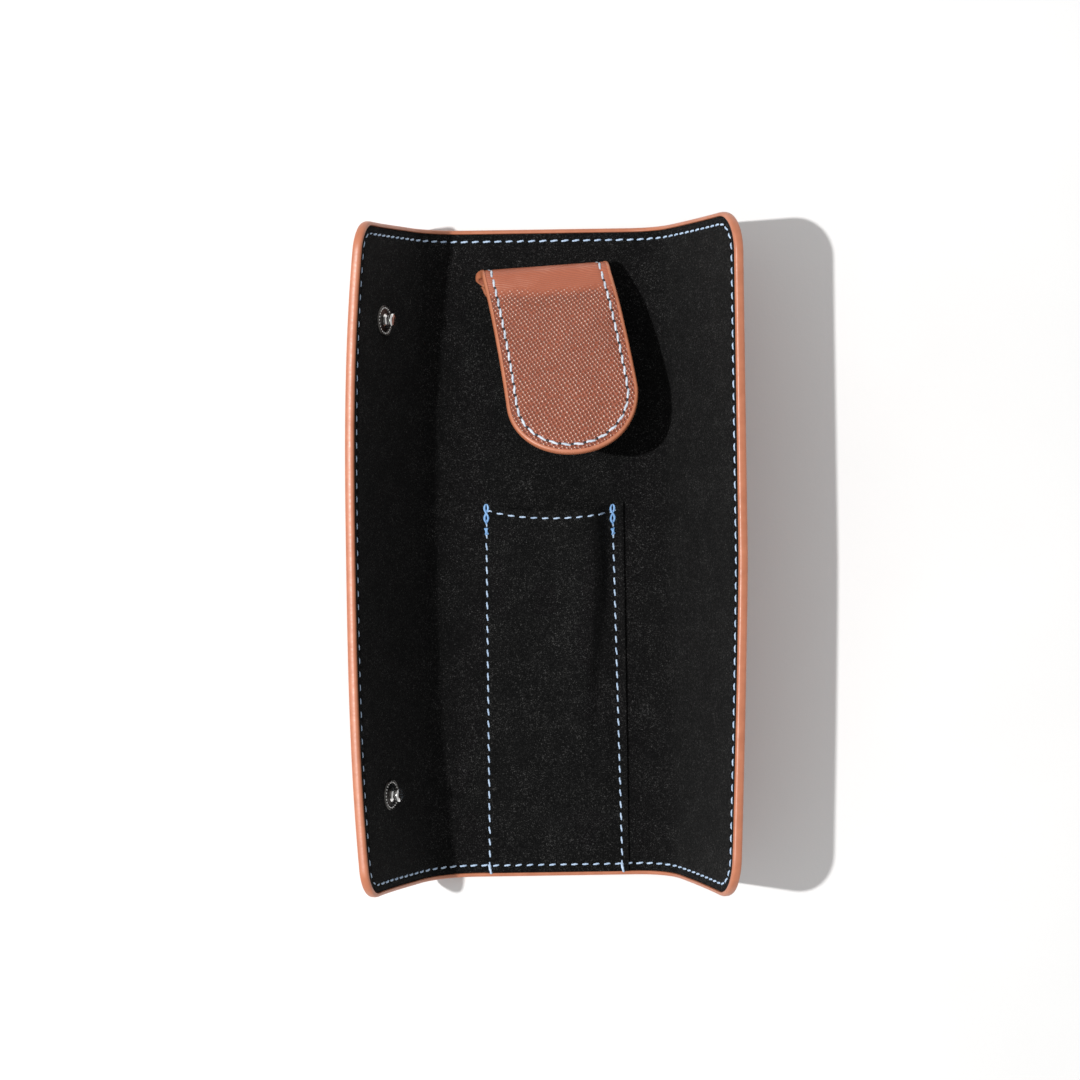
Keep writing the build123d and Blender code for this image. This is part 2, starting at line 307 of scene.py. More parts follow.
def edge_distance(s, y, far, corner):
    """Distance in from the outline, which has rounded corners at the far edge."""
    qs = np.asarray(s, float) - (far - corner)
    qy = np.abs(np.asarray(y, float)) - (HALF - corner)
    outside = np.hypot(np.maximum(qs, 0), np.maximum(qy, 0))
    return corner - np.where((qs > 0) & (qy > 0), outside, np.maximum(qs, qy))


def flap_points(s0, far, corner):
    """Points over a zone with the flap in it: rings along the edge and a grid inside."""
    points = []
    corner_s, corner_y = far - corner, HALF - corner
    rows = np.linspace(s0, corner_s, round((corner_s - s0) / FLAP_STEP) + 1)
    across = np.linspace(-corner_y, corner_y, 71)
    for r in RINGS:
        radius = corner - r
        for sign in (-1, 1):
            points += [(s, sign * (HALF - r)) for s in rows]
            for a in np.linspace(0, 90, 11)[1:-1]:
                c, d = math.cos(math.radians(a)), math.sin(math.radians(a))
                points.append((corner_s + radius * d, sign * (corner_y + radius * c)))
        points += [(far - r, y) for y in across]
    return points + [(s, y) for s in rows for y in INNER]


def ends_distance(s, y):
    return HALF - np.abs(np.asarray(y, float))


def ripple(s, y):
    """Very slight unevenness of the lining."""
    s, y = np.asarray(s, float), np.asarray(y, float)
    a = np.sin(0.11 * s + 0.063 * y + 1.3) * np.sin(0.052 * y - 0.09 * s + 0.4)
    b = np.sin(0.31 * s - 0.17 * y) * np.sin(0.23 * y + 0.5)
    return 0.05 * a + 0.02 * b


def skin_levels(distance):
    """t of the leather's outside and of the lining's face, with the seam pressed into both."""

    def outside(s, y):
        d = distance(s, y)
        return groove(0.2, d - INSET, 0.42) + 0.12 * smoothstep(d, 2.2, 1.1)

    def face(s, y):
        d = distance(s, y)
        soft = ripple(s, y) * smoothstep(d, 4.0, 9.0)
        return THICK - groove(0.28, d - INSET, 0.42) - 0.22 * smoothstep(d, 2.3, 1.1) + soft

    return outside, face


# ---- painted edge ----
EDGE_KEY = 0.25            # how far the paint reaches in under the leather
EDGE_STEP = 0.35           # and how far from the faces it does


def edge_ring(path, tangents, bend, low=EDGE_BEAD, high=THICK, width=PAINT):
    """A rounded painted edge along a flat path. The outline is on the path's right. The paint
    goes from EDGE_BEAD below low to EDGE_BEAD above high."""
    mid, half = (low + high) / 2, (high - low) / 2 + EDGE_BEAD
    angles = np.radians(np.linspace(-90, 90, 13))
    d = width * (1 - np.sign(np.cos(angles)) * np.abs(np.cos(angles)) ** 0.62)
    t = mid + half * np.sign(np.sin(angles)) * np.abs(np.sin(angles)) ** 0.8
    d = np.concatenate([d, [width + EDGE_KEY] * 2])
    t = np.concatenate([t, [high - EDGE_STEP, low + EDGE_STEP]])
    return [bend(s - ty * d, y + ts * d, t) for (s, y), (ts, ty) in zip(path, tangents)]


def perimeter(s0, far, inset, step, corner):
    """Flat path round a flap, from its start at -Y to its start at +Y, with tangents."""
    corner_s, corner_y, radius = far - corner, HALF - corner, corner - inset
    run = np.linspace(s0, corner_s, max(2, round((corner_s - s0) / step)) + 1)
    path = [(s, -HALF + inset) for s in run]
    tangents = [(1, 0)] * len(run)

    def turn(first, y):
        for a in np.radians(np.linspace(first, first + 90, 13))[1:]:
            path.append((corner_s + radius * math.sin(a), y - radius * math.cos(a)))
            tangents.append((math.cos(a), math.sin(a)))

    turn(0, -corner_y)
    for y in np.linspace(-corner_y, corner_y, round(2 * corner_y / FAR_STEP))[1:]:
        path.append((far - inset, y))
        tangents.append((0, 1))
    turn(90, corner_y)
    for s in np.linspace(corner_s, s0, len(run))[1:]:
        path.append((s, HALF - inset))
        tangents.append((-1, 0))
    return path, tangents


def end_bands(places, bend):
    """The painted edge at both ends of a strip."""
    bands = []
    for sign in (-1, 1):
        path = [(s, sign * HALF) for s in places[::-sign]]
        bands.append(tube(edge_ring(path, [(-sign, 0)] * len(path), bend)))
    return bands


# ---- stitches ----
STITCH_WIDTH = 0.29
STITCH_SLANT = 8.0         # degrees
PLY_TWIST = 3.6            # radians over half a stitch
PLY_LOBE = 0.16            # how far the two plies show, as a share
STITCH_SQUAT = 0.78


def stitch(s, y, angle, length, t, out, width=STITCH_WIDTH, slant=STITCH_SLANT):
    """One stitch as flat (s, y, t) rings: two plies twisted, its ends dipping to their holes."""
    angle += math.radians(slant)
    c, d = math.cos(angle), math.sin(angle)
    rings = []
    for u in np.linspace(-1, 1, 11):
        lift = 0.30 * (1 - abs(u) ** 3.2) - 0.16
        size = width * (1 - 0.35 * abs(u) ** 4)
        ring = []
        for k in range(8):
            a = 2 * math.pi * k / 8
            lobe = 1 + PLY_LOBE * math.cos(2 * (a - PLY_TWIST * u))
            side = size * lobe * math.cos(a)
            up = STITCH_SQUAT * size * lobe * math.sin(a) + lift
            along = u * length / 2
            ring.append((s + along * c - side * d, y + along * d + side * c, t + out * up))
        rings.append(ring)
    return rings


def lay(soup, bend, rings):
    flat = np.array(rings)
    soup.add(*tube([bend(r[:, 0], r[:, 1], r[:, 2]) for r in flat]))


def sew(soup, bend, *where, **look):
    """Add one stitch to a soup."""
    lay(soup, bend, stitch(*where, **look))


def spaced(path, tangents, pitch):
    """Evenly spaced places on a flat path: s, y, angle."""
    path = np.array(path, float)
    gaps = np.hypot(*np.diff(path, axis=0).T)
    where = np.concatenate([[0], np.cumsum(gaps)])
    count = max(1, round(where[-1] / pitch))
    angles = np.unwrap([math.atan2(t[1], t[0]) for t in tangents])
    marks = (np.arange(count) + 0.5) * where[-1] / count
    columns = (path[:, 0], path[:, 1], angles)
    return [tuple(np.interp(m, where, column) for column in columns) for m in marks]


# ---- materials ----
class Finish:
    """A material being made, in metres: its nodes, and short ways to add to them."""

    def __init__(self, name, coordinates="Object"):
        self.material = bpy.data.materials.new(name)
        self.material.use_nodes = True
        self.nodes = self.material.node_tree.nodes
        self.links = self.material.node_tree.links
        self.shader = self.nodes["Principled BSDF"]
        self.place = self.nodes.new("ShaderNodeTexCoord").outputs[coordinates]

    def op(self, operation, *values, clamp=False):
        made = self.nodes.new("ShaderNodeMath")
        made.operation = operation
        made.use_clamp = clamp
        for socket, value in zip(made.inputs, values):
            if isinstance(value, (int, float)):
                socket.default_value = value
            else:
                self.links.new(value, socket)
        return made.outputs[0]

    def times(self, a, b):
        return self.op("MULTIPLY", a, b)

    def scaled(self, a, by, plus, clamp=False):
        return self.op("MULTIPLY_ADD", a, by, plus, clamp=clamp)

    def noise(self, scale, detail, rough):
        made = self.nodes.new("ShaderNodeTexNoise")
        made.inputs["Scale"].default_value = scale
        made.inputs["Detail"].default_value = detail
        made.inputs["Roughness"].default_value = rough
        self.links.new(self.place, made.inputs["Vector"])
        return made.outputs["Fac"]

    def set(self, **values):
        for key, value in values.items():
            self.shader.inputs[key.replace("_", " ")].default_value = value

    def colour(self, value, *stops):
        """Base colour by a ramp: each stop is a place on it and a colour."""
        made = self.nodes.new("ShaderNodeValToRGB")
        elements = made.color_ramp.elements
        while len(elements) < len(stops):
            elements.new(0.5)
        for element, (at, tint) in zip(elements, stops):
            element.position = at
            element.color = (*tint, 1)
        self.links.new(value, made.inputs["Fac"])
        self.links.new(made.outputs["Color"], self.shader.inputs["Base Color"])

    def roughness(self, value, span, low):
        self.links.new(self.scaled(value, span, low), self.shader.inputs["Roughness"])

    def bump(self, height, distance, strength=1.0):
        made = self.nodes.new("ShaderNodeBump")
        made.inputs["Distance"].default_value = distance
        made.inputs["Strength"].default_value = strength
        self.links.new(height, made.inputs["Height"])
        self.links.new(made.outputs["Normal"], self.shader.inputs["Normal"])


def suede():
    """Black microsuede: short matted fibres. Its bright specks are partly paler fibre tips and
    partly painted glints.
    """
    f = Finish("black_microsuede")
    fine, clumps, patches = f.noise(3300, 1, 0.5), f.noise(1200, 3, 0.7), f.noise(130, 4, 0.7)
    nap_and_glints = f.scaled(clumps, 0.35, f.times(fine, 0.65))
    nap_and_glints = f.scaled(patches, 0.18, f.op("SUBTRACT", nap_and_glints, 0.05))
    # The top stop of the ramp makes bright specks: partly paler fibre tips, partly painted glints.
    f.colour(
        nap_and_glints,
        (0.42, (0.0034, 0.0034, 0.0035)),
        (0.56, (0.0062, 0.0062, 0.0063)),
        (0.64, (0.016, 0.0158, 0.0156)),
        (0.74, (0.070, 0.069, 0.068)),
    )
    f.set(Roughness=0.95, Specular_IOR_Level=0.06, Sheen_Weight=0.026, Sheen_Roughness=0.35)
    f.bump(nap_and_glints, 0.00055)
    return f.material


RIDGES = ((-30.0, 0.00102), (60.0, 0.00109))  # direction in degrees, spacing
WRINKLE_TURN = math.radians(-17)
WRINKLE_SPACING = 0.00075
STRETCH = 0.004            # length over which the grain fades out towards a fold


def leather(name, fold=None):
    """Cross-grain leather: two families of fine ridges pressed into a tan coat. The grain runs
    in the sheet's own flat plane. Its colour is pale on the ridge tops and dark between them:
    painted highlight and painted shade. Where y is under fold, at the tab's roll, it is
    stretched smooth, with fine wrinkles that are also painted light and dark."""
    f = Finish(name, "UV")
    split = f.nodes.new("ShaderNodeSeparateXYZ")
    f.links.new(f.place, split.inputs[0])
    x, y = split.outputs[0], split.outputs[1]
    wobble = f.noise(210, 3, 0.6)
    ridges = []
    for turn, spacing in RIDGES:
        pitch, turn = 2 * math.pi / spacing, math.radians(turn)
        line = f.scaled(x, pitch * math.cos(turn), f.times(y, pitch * math.sin(turn)))
        phase = f.scaled(wobble, 5.0, line)
        ridges.append(f.scaled(f.op("SINE", phase), 0.5, 0.5))
    missing = f.scaled(f.noise(760, 2, 0.6), 4.2, -1.45, clamp=True)
    peaks = f.times(f.op("POWER", f.times(*ridges), 2.4), missing)
    grain_and_painted_light = f.scaled(f.op("MAXIMUM", *ridges), 0.40, peaks)
    if fold is not None:
        worn = f.noise(90, 2, 0.5)
        shifted = f.scaled(worn, 0.006, y)
        keep = f.scaled(shifted, 1 / STRETCH, -(fold + 0.003) / STRETCH, clamp=True)
        c, d = math.cos(WRINKLE_TURN), math.sin(WRINKLE_TURN)
        bent = f.scaled(worn, 0.0022, f.scaled(y, c, f.times(x, d)))
        wrinkle = f.op("SINE", f.times(bent, 2 * math.pi / WRINKLE_SPACING))
        # the wrinkles shift the colour too: painted light and shade along them
        smooth = f.scaled(wrinkle, 0.06, 0.56)
        grain_and_painted_light = f.scaled(f.op("SUBTRACT", grain_and_painted_light, smooth), keep, smooth)
    pores, tone = f.noise(1500, 2, 0.6), f.noise(70, 3, 0.6)
    # The ramp paints the ridge tops pale and the valleys dark: painted highlight and painted shade
    # over the leather's own tan and its random tone.
    f.colour(
        f.scaled(tone, 0.22, f.times(grain_and_painted_light, 0.8)),
        (0.20, (0.16, 0.040, 0.019)),
        (0.42, (0.30, 0.077, 0.037)),
        (0.60, (0.40, 0.116, 0.060)),
        (0.82, (1.0, 0.74, 0.62)),
    )
    f.roughness(pores, 0.2, 0.30)
    f.set(Specular_IOR_Level=0.5)
    f.bump(f.scaled(pores, 0.10, grain_and_painted_light), 0.00044)
    return f.material


def paint():
    """Layered edge paint: smooth, slightly uneven and semi-gloss."""
    f = Finish("edge_paint")
    tone, fine = f.noise(240, 3, 0.6), f.noise(1300, 3, 0.6)
    f.colour(tone, (0.3, (0.42, 0.135, 0.062)), (0.7, (0.50, 0.175, 0.088)))
    f.roughness(fine, 0.3, 0.28)
    f.set(Specular_IOR_Level=0.75)
    f.bump(fine, 0.00006, 0.6)
    return f.material


def thread(name, dark, light):
    """Waxed twisted thread."""
    f = Finish(name)
    fibre, tone = f.noise(2400, 3, 0.6), f.noise(330, 2, 0.5)
    f.colour(f.scaled(fibre, 0.5, f.times(tone, 0.5)), (0.32, dark), (0.62, light))
    f.set(Roughness=0.55)
    f.bump(fibre, 0.00008, 0.6)
    return f.material


def metal(name, tint, low, span):
    """Plated metal, with a roughness from low to low + span."""
    f = Finish(name)
    smear = f.noise(700, 3, 0.6)
    f.set(Base_Color=(*tint, 1), Metallic=1.0)
    f.roughness(smear, span, low)
    f.bump(smear, 0.00001, 0.3)
    return f.material


def floor_finish():
    f = Finish("floor")
    f.colour(f.noise(6, 4, 0.55), (0.3, (0.80,) * 3), (0.7, (0.84,) * 3))
    f.set(Roughness=0.9, Specular_IOR_Level=0.1)
    f.bump(f.noise(900, 3, 0.6), 0.00008, 0.4)
    return f.material


SUEDE = suede()
LEATHER = leather("tan_leather")
TAB_LEATHER = leather("tab_leather", fold=0.0045)
EDGE = paint()
THREAD = thread("thread", (0.30, 0.42, 0.60), (0.52, 0.66, 0.84))
BARTACK = thread("bartack_thread", (0.10, 0.25, 0.52), (0.26, 0.48, 0.80))
CHROME = metal("snap_metal", (0.80, 0.79, 0.78), 0.10, 0.16)
# A near-black copy of the plated metal for the studs' dishes and rims: painted dark reflection and
# shade, not the metal's own colour.
DISH_DARK_REFLECTION = metal("snap_metal_dish", (0.10, 0.095, 0.09), 0.22, 0.2)
TAB_THREAD = thread("tab_thread", (0.34, 0.41, 0.49), (0.68, 0.74, 0.82))
# Near-black lenses in the gaps of the tab's seam: painted shade of the needle holes.
HOLE_SHADE = thread("needle_hole", (0.012, 0.012, 0.016), (0.022, 0.022, 0.028))
SPRING = metal("spring_wire", (0.62, 0.62, 0.64), 0.25, 0.2)


# ---- camera, light and floor ----
LENS = 81.8
SHIFT = (0.0161, -0.0535)
CAMERA_AT = (-8.8, 21.0, 730.7)
CAMERA_ROLL = math.radians(-0.88)
LAMP_AT = (-554.0, 42.0, 999.0)
LAMP_WATTS = 47.0
LAMP_SIZE = 0.012          # metres: small, for hard shadows
SKY = 0.585
FLOOR_HALF = 3000.0
FLOOR_CELLS = 8


def studio():
    data = bpy.data.cameras.new("camera")
    data.sensor_width = 36.0
    data.lens = LENS
    data.shift_x, data.shift_y = SHIFT
    camera = place("camera", data)
    camera.location = [v * MM for v in CAMERA_AT]
    camera.rotation_euler = (0, 0, CAMERA_ROLL)
    bpy.context.scene.camera = camera

    data = bpy.data.lights.new("key", "POINT")
    data.energy = LAMP_WATTS
    data.shadow_soft_size = LAMP_SIZE
    data.color = (1.0, 0.995, 0.985)
    place("key", data).location = [v * MM for v in LAMP_AT]

    world = bpy.data.worlds.new("studio")
    bpy.context.scene.world = world
    world.use_nodes = True
    sky = world.node_tree.nodes["Background"]
    sky.inputs["Color"].default_value = (1.0, 1.0, 1.0, 1)
    sky.inputs["Strength"].default_value = SKY
    bpy.context.scene.view_settings.view_transform = "Standard"

    row = FLOOR_CELLS + 1
    grid = np.linspace(-FLOOR_HALF, FLOOR_HALF, row)
    corners = [j * row + i for j in range(FLOOR_CELLS) for i in range(FLOOR_CELLS)]
    shape = (
        [(x, y, 0.0) for y in grid for x in grid],
        [(k, k + 1, k + row + 1, k + row) for k in corners],
    )
    make("floor", shape, floor_finish())


studio()


# ---- skins ----
def skin(zone, points, distance, bend, attach, bands):
    """The leather, the lining and the painted edge over one zone."""
    outside, face = skin_levels(distance)
    middle = level(LINING_FLOOR)
    leather_part = make(f"{zone}_leather_skin", slab(points, outside, middle, bend), LEATHER)
    lining_part = make(f"{zone}_lining_skin", slab(points, middle, face, bend), SUEDE)
    soup = Soup()
    for verts, faces in bands:
        soup.add(verts, faces)
    band = soup.make(f"{zone}_edge_band", EDGE)
    for part, slot, kinds in (
        (leather_part, "tan_leather", ("leather", "board", "interlining")),
        (lining_part, "black_microsuede", ("lining",)),
        (band, "edge_paint", ("edge_paint",)),
    ):
        nodes = [f"{zone}_{kind}" for kind in kinds]
        settle(part, attach, slot, *[node for node in nodes if node in NODES])


def base_skin():
    s0, s1 = -LEFT.first, RIGHT.first
    points = strip_points(s0, s1, BASE_STEP)
    bands = end_bands(np.linspace(s0, s1, 14), flat_map)
    skin("base", points, ends_distance, flat_map, ride("base"), bands)


def side_skins(side):
    for k, zone in enumerate(ZONES):
        s0, s1 = side.zone(k)
        if zone == "flap":
            points = flap_points(s0, s1, side.corner)
            path, tangents = perimeter(s0, s1, 0.0, 1.2, side.corner)
            bands = [tube(edge_ring(path, tangents, side.map))]

            def distance(s, y, far=s1):
                return edge_distance(s, y, far, side.corner)
        else:
            points = strip_points(s0, s1, WALL_STEP)
            rows = max(4, round((s1 - s0) / WALL_STEP)) + 1
            bands = end_bands(np.linspace(s0, s1, rows), side.map)
            distance = ends_distance
        skin(f"{side.name}_{zone}", points, distance, side.map, side.attach(k), bands)


SEAM_STITCH = 2.2          # length of a stitch
SEAM_FACE = THICK - 0.2    # t of the stitches on the lining
SEAM_BACK = 0.42           # and on the leather
PANEL_HALF = 20.5          # nearer to the middle than this, at -Y, the seam crosses the pocket
PANEL_LIFT = 0.55
TIGHT = 12.0               # this near to the left flap's far edge the stitches are pulled tight
TIGHT_SINK = 0.14
TIGHT_WIDTH = 0.22


def seams():
    """The perimeter seam, on the lining and on the leather, split where the skins are."""
    soups = {"base": (Soup(), ride("base"))}
    for side in SIDES:
        for k, zone in enumerate(ZONES):
            soups[f"{side.name}_{zone}"] = (Soup(), side.attach(k))
    for side in SIDES:
        path, tangents = perimeter(0.0, side.length, INSET, 1.0, side.corner)
        far = [abs(ts) < 1e-6 for ts, _ in tangents]  # where the path runs along Y
        first, last = far.index(True), len(far) - 1 - far[::-1].index(True)
        places = spaced(path[: first + 1], tangents[: first + 1], END_PITCH)
        places += spaced(path[first : last + 1], tangents[first : last + 1], side.pitch)
        places += spaced(path[last:], tangents[last:], END_PITCH)
        for s, y, angle in places:
            k = sum(s > edge for edge in [side.first] + side.splits)
            soup, _ = soups["base" if k == 0 else f"{side.name}_{ZONES[k - 1]}"]
            angle += jitter(0.05)
            size = SEAM_STITCH + jitter(0.12)
            face, width, slant = SEAM_FACE, STITCH_WIDTH, STITCH_SLANT * side.sign
            if abs(s) < PANEL_HALF and y < 0:
                face += PANEL_LIFT
            if side is LEFT and s > side.length - TIGHT:
                face, width = face - TIGHT_SINK, TIGHT_WIDTH
            sew(soup, side.map, s, y, angle, size, face, 1, width, slant)
            sew(soup, side.map, s, y, angle, size, SEAM_BACK, -1, slant=slant)
    for name, (soup, attach) in soups.items():
        part = soup.make(f"{name}_seam", THREAD, sharp=60)
        settle(part, attach, "thread", f"{name}_seam_thread")


base_skin()
for each in SIDES:
    side_skins(each)
seams()


# ---- pocket ----
POCKET_MOUTH = 14.8
POCKET_HALF = 20.9         # half the panel's width
POCKET_FOOT = -HALF + 1.3
POCKET_BACK = THICK + 0.02  # the panel's underside where it lies on the lining
POCKET_THICK = 0.62
HEM = 2.2                  # from the mouth to the hem's stitches
POCKET_LEVEL = POCKET_THICK - 0.2  # of its stitches' middle lines above the underside
POCKET_THREAD = 0.26       # width of its stitches


def pocket_seam(y):
    """x of the two seam lines at y."""
    k = (POCKET_MOUTH - np.asarray(y, float)) / (POCKET_MOUTH + HALF)
    return -19.7 - 0.5 * k, 17.7 + 1.4 * k


def pocket_y(x, y):
    """The mouth is a little slack, so the panel hangs lower in the middle."""
    x, y = np.asarray(x, float), np.asarray(y, float)
    k = np.clip(1 - ((x - 0.5) / 19.0) ** 2, 0, 1)
    return y - 2.4 * k**0.8 * smoothstep(y, -28, POCKET_MOUTH)


def pocket_rise(x, y):
    """Height of the panel's underside above the lining."""
    x, y = np.asarray(x, float), np.asarray(y, float)
    left, right = pocket_seam(y)
    sewn = smoothstep(x, left + 0.8, left + 8.0) * smoothstep(x, right - 0.8, right - 4.6)
    ends = smoothstep(y, POCKET_FOOT + 4, POCKET_FOOT + 34)
    crown = 0.55 + 0.95 * smoothstep(y, -50, 8)
    wave = 0.10 * np.sin(0.21 * x + 0.08 * y) * np.sin(0.10 * y + 1.0)
    mouth = 0.9 * smoothstep(y, 2.0, POCKET_MOUTH) * np.clip(1 - ((x + 1) / 19) ** 2, 0, 1)
    # the slack gathers in a soft fold beside the right seam, which closes towards the foot
    down = smoothstep(y, 4, -60)
    crest = right - 6.4 - 3.4 * down
    drop = smoothstep(x, crest + 5.5 - 2.4 * down, crest)
    fold = 4.4 * np.where(x < crest, groove(1.0, x - crest, 8.5), drop)
    fold = fold * smoothstep(y, -74, 2) * (1 - 0.5 * smoothstep(y, 4, POCKET_MOUTH))
    # the border outside the right seam lifts off
    lip = 0.5 * smoothstep(x, right + 1.0, right + 2.4)
    return sewn * (ends * (crown + wave) + mouth) + fold + lip


def pocket_under(x, y):
    return POCKET_BACK + pocket_rise(x, y)


def pocket_over(x, y):
    """The panel's face, with its seams pressed in and its cut edges rounded."""
    left, right = pocket_seam(y)
    sides = groove(0.22, np.minimum(np.abs(x - left), np.abs(x - right)), 0.45)
    foot = groove(0.25, y + HALF - INSET, 0.45)
    hem = groove(0.16, y - POCKET_MOUTH + HEM, 0.4)
    d = np.minimum(np.minimum(x + POCKET_HALF, POCKET_HALF - x), POCKET_MOUTH - y)
    dip = np.maximum(np.maximum(sides, foot), hem)
    return pocket_under(x, y) + POCKET_THICK - dip - 0.16 * smoothstep(d, 0.6, 0.0)


def panel_map(x, y, t):
    return flat_map(x, pocket_y(x, y), t)


def on_panel(x, y, t):
    """Bends a stitch onto the panel's face."""
    return panel_map(x, y, np.asarray(t) + pocket_under(x, y) + POCKET_LEVEL)


def pocket_panel():
    xs = ((-POCKET_HALF, -17.5, 11), (-17.0, 14.0, 36), (14.4, POCKET_HALF, 19))
    ys = ((POCKET_FOOT, -90, 8), (-88.5, 4.0, 64), (5.0, POCKET_MOUTH, 18))
    xs, ys = (np.concatenate([np.linspace(*run) for run in runs]) for runs in (xs, ys))
    shape = slab([(x, y) for x in xs for y in ys], pocket_under, pocket_over, panel_map)
    settle(make("pocket_panel", shape, SUEDE), ride("base"), "black_microsuede", "strap_pocket")


def pocket_seams():
    soup = Soup()
    for which in (0, 1):  # the left and the right seam
        ys = np.linspace(-HALF + 1.7, POCKET_MOUTH - 4.0, 40)
        path = [(float(pocket_seam(y)[which]), y) for y in ys]
        for x, y, angle in spaced(path, [(0, 1)] * len(path), 3.5):
            angle += jitter(0.06)
            sew(soup, on_panel, x, y, angle, 2.3 + jitter(0.15), 0.0, 1, POCKET_THREAD)
        foot = -HALF + 2.4  # one thick stitch over the pouch's edge
        x = float(pocket_seam(foot)[which])
        sew(soup, on_panel, x, foot, math.pi / 2 + 0.1, 3.0, 0.12, 1, 0.36)
    hem = [(x, POCKET_MOUTH - HEM) for x in np.linspace(-20.7, 19.5, 40)]
    for x, y, angle in spaced(hem, [(1, 0)] * len(hem), 3.3):
        angle += jitter(0.06)
        sew(soup, on_panel, x, y, angle, 2.2 + jitter(0.15), 0.0, 1, POCKET_THREAD)
    part = soup.make("pocket_seams", THREAD, sharp=60)
    settle(part, ride("base"), "thread", "pocket_thread")


BRAID_LENGTH = 6.0
BRAID_WIDTH = 0.55         # how far a strand swings to a side
BRAID_THREAD = 0.35        # radius of a strand


def bartacks():
    """At each upper corner two strands cross over one another, with two stitches below."""
    soup = Soup()
    for which in (0, 1):
        for strand in (-1, 1):
            rings = []
            for k in np.linspace(0, 1, 33):
                phase = 2 * math.pi * k + 0.3
                y = POCKET_MOUTH - 0.1 - BRAID_LENGTH * k
                x = float(pocket_seam(y)[which]) + strand * BRAID_WIDTH * math.sin(phase)
                t = 0.30 + strand * 0.15 * math.cos(phase)
                r = BRAID_THREAD * (1 - 0.5 * abs(2 * k - 1) ** 6)
                angles = np.arange(0, 2 * math.pi, math.pi / 4)
                rings.append([(x + r * math.cos(a), y, t + 0.8 * r * math.sin(a)) for a in angles])
            lay(soup, on_panel, rings)
        y = POCKET_MOUTH - 8.2
        x = float(pocket_seam(y)[which])
        for lean, t in ((0.35, 0.16), (-0.35, 0.34)):
            sew(soup, on_panel, x, y, math.pi / 2 + lean, 2.2, t, 1, 0.34)
    part = soup.make("pocket_bartack_threads", BARTACK, sharp=60)
    settle(part, ride("base"), "bartack_thread", "pocket_bartacks")


pocket_panel()
pocket_seams()
bartacks()


# ---- keeper tab ----
TAB_HALF = 18.7            # half the leaf's width
TAB_LENGTH = 56.0
TAB_INNER = 2.6            # inside radius of the roll
TAB_THICK = 2.0
TAB_LAYER = TAB_THICK / 2  # leather above, backing below
TAB_OUTER = TAB_INNER + TAB_THICK
TAB_MIDDLE = TAB_INNER + TAB_THICK / 2
TAB_TILT = math.radians(3.3)    # the tab's turn on the base
TAB_LEAN = math.radians(6.9)    # of the leaf's middle line from square to its fold
TAB_RISE = math.radians(21.0)   # of the leaf from the base
ROLL_LENGTH = TAB_MIDDLE * (math.pi - TAB_RISE)
TAB_CENTRE = np.array([-0.7, 84.7 - TAB_OUTER, THICK + 0.02 + TAB_OUTER])
TAB_SPRING = 2.5           # how far the leather's spring lifts the tab just past its fold
TAB_PAINT = 0.9
TAB_SEAM = 2.9
TAB_PITCH = 3.55
TAB_STITCH = 3.05          # length of a stitch
TAB_GRID = 1.7
TAB_END = 0.87             # the rounded end is a little flatter than a half round
TAB_POWER = 2.04           # and a little squarer
TAB_RUN = TAB_LENGTH / math.cos(TAB_LEAN) - TAB_HALF * TAB_END
LEAN_COS, LEAN_SIN = math.cos(TAB_LEAN), math.sin(TAB_LEAN)
END_U, END_Q = TAB_RUN * LEAN_SIN, TAB_RUN * LEAN_COS  # centre of the rounded end
ROLL_HALF = (TAB_HALF - TAB_PAINT) / LEAN_COS  # half the leather's width at the fold
ROLL_RIM = TAB_HALF / LEAN_COS                 # and with its paint
ROLL_END = -ROLL_LENGTH
LEG_RIM = ROLL_RIM - 0.6
LEG_REACH = 3.2            # length of the leg past the roll, and radius of its corners
LEG_ARC = 1.57             # of a corner, in radians


def tab_map(u, q, t):
    """u along the fold line, q along the tab (0 at its foot, negative round the roll and on the
    leg), t up from the backing to the leather."""
    u, q, t = np.broadcast_arrays(*(np.asarray(v, float) for v in (u, q, t)))
    r = TAB_INNER + t + TAB_SPRING * smoothstep(q, -4, 13)
    leaf = np.maximum(q, 0)
    under = np.maximum(-q, 0)
    # the end is stretched a little, most at its right
    leaf_y = -leaf - 1.5 * smoothstep(leaf, 36, 58) * (1 + 0.045 * (u - 5))
    # seen from above, the strip under the fold steps first to one side, then to the other
    sway = 2.85 * smoothstep(under, 7.3, 11.2) - 1.3 * smoothstep(under, 3.6, 6.6)
    sway = sway - under * math.tan(TAB_LEAN)
    # the leaf widens a little and curves sideways
    u = u * (1 + 0.0004 * leaf) + 0.03 * leaf - 0.001 * leaf**2 + sway
    angle = math.pi / 2 - TAB_RISE - np.clip(-q, 0, ROLL_LENGTH) / TAB_MIDDLE
    leg = np.maximum(-q - ROLL_LENGTH, 0)
    y = r * np.cos(angle) + leaf_y * math.cos(TAB_RISE) - leg
    z = r * np.sin(angle) - leaf_y * math.sin(TAB_RISE)
    c, d = math.cos(TAB_TILT), math.sin(TAB_TILT)
    cx, cy, cz = TAB_CENTRE
    return np.stack([cx + u * c - y * d, cy + u * d + y * c, cz + z], axis=-1)


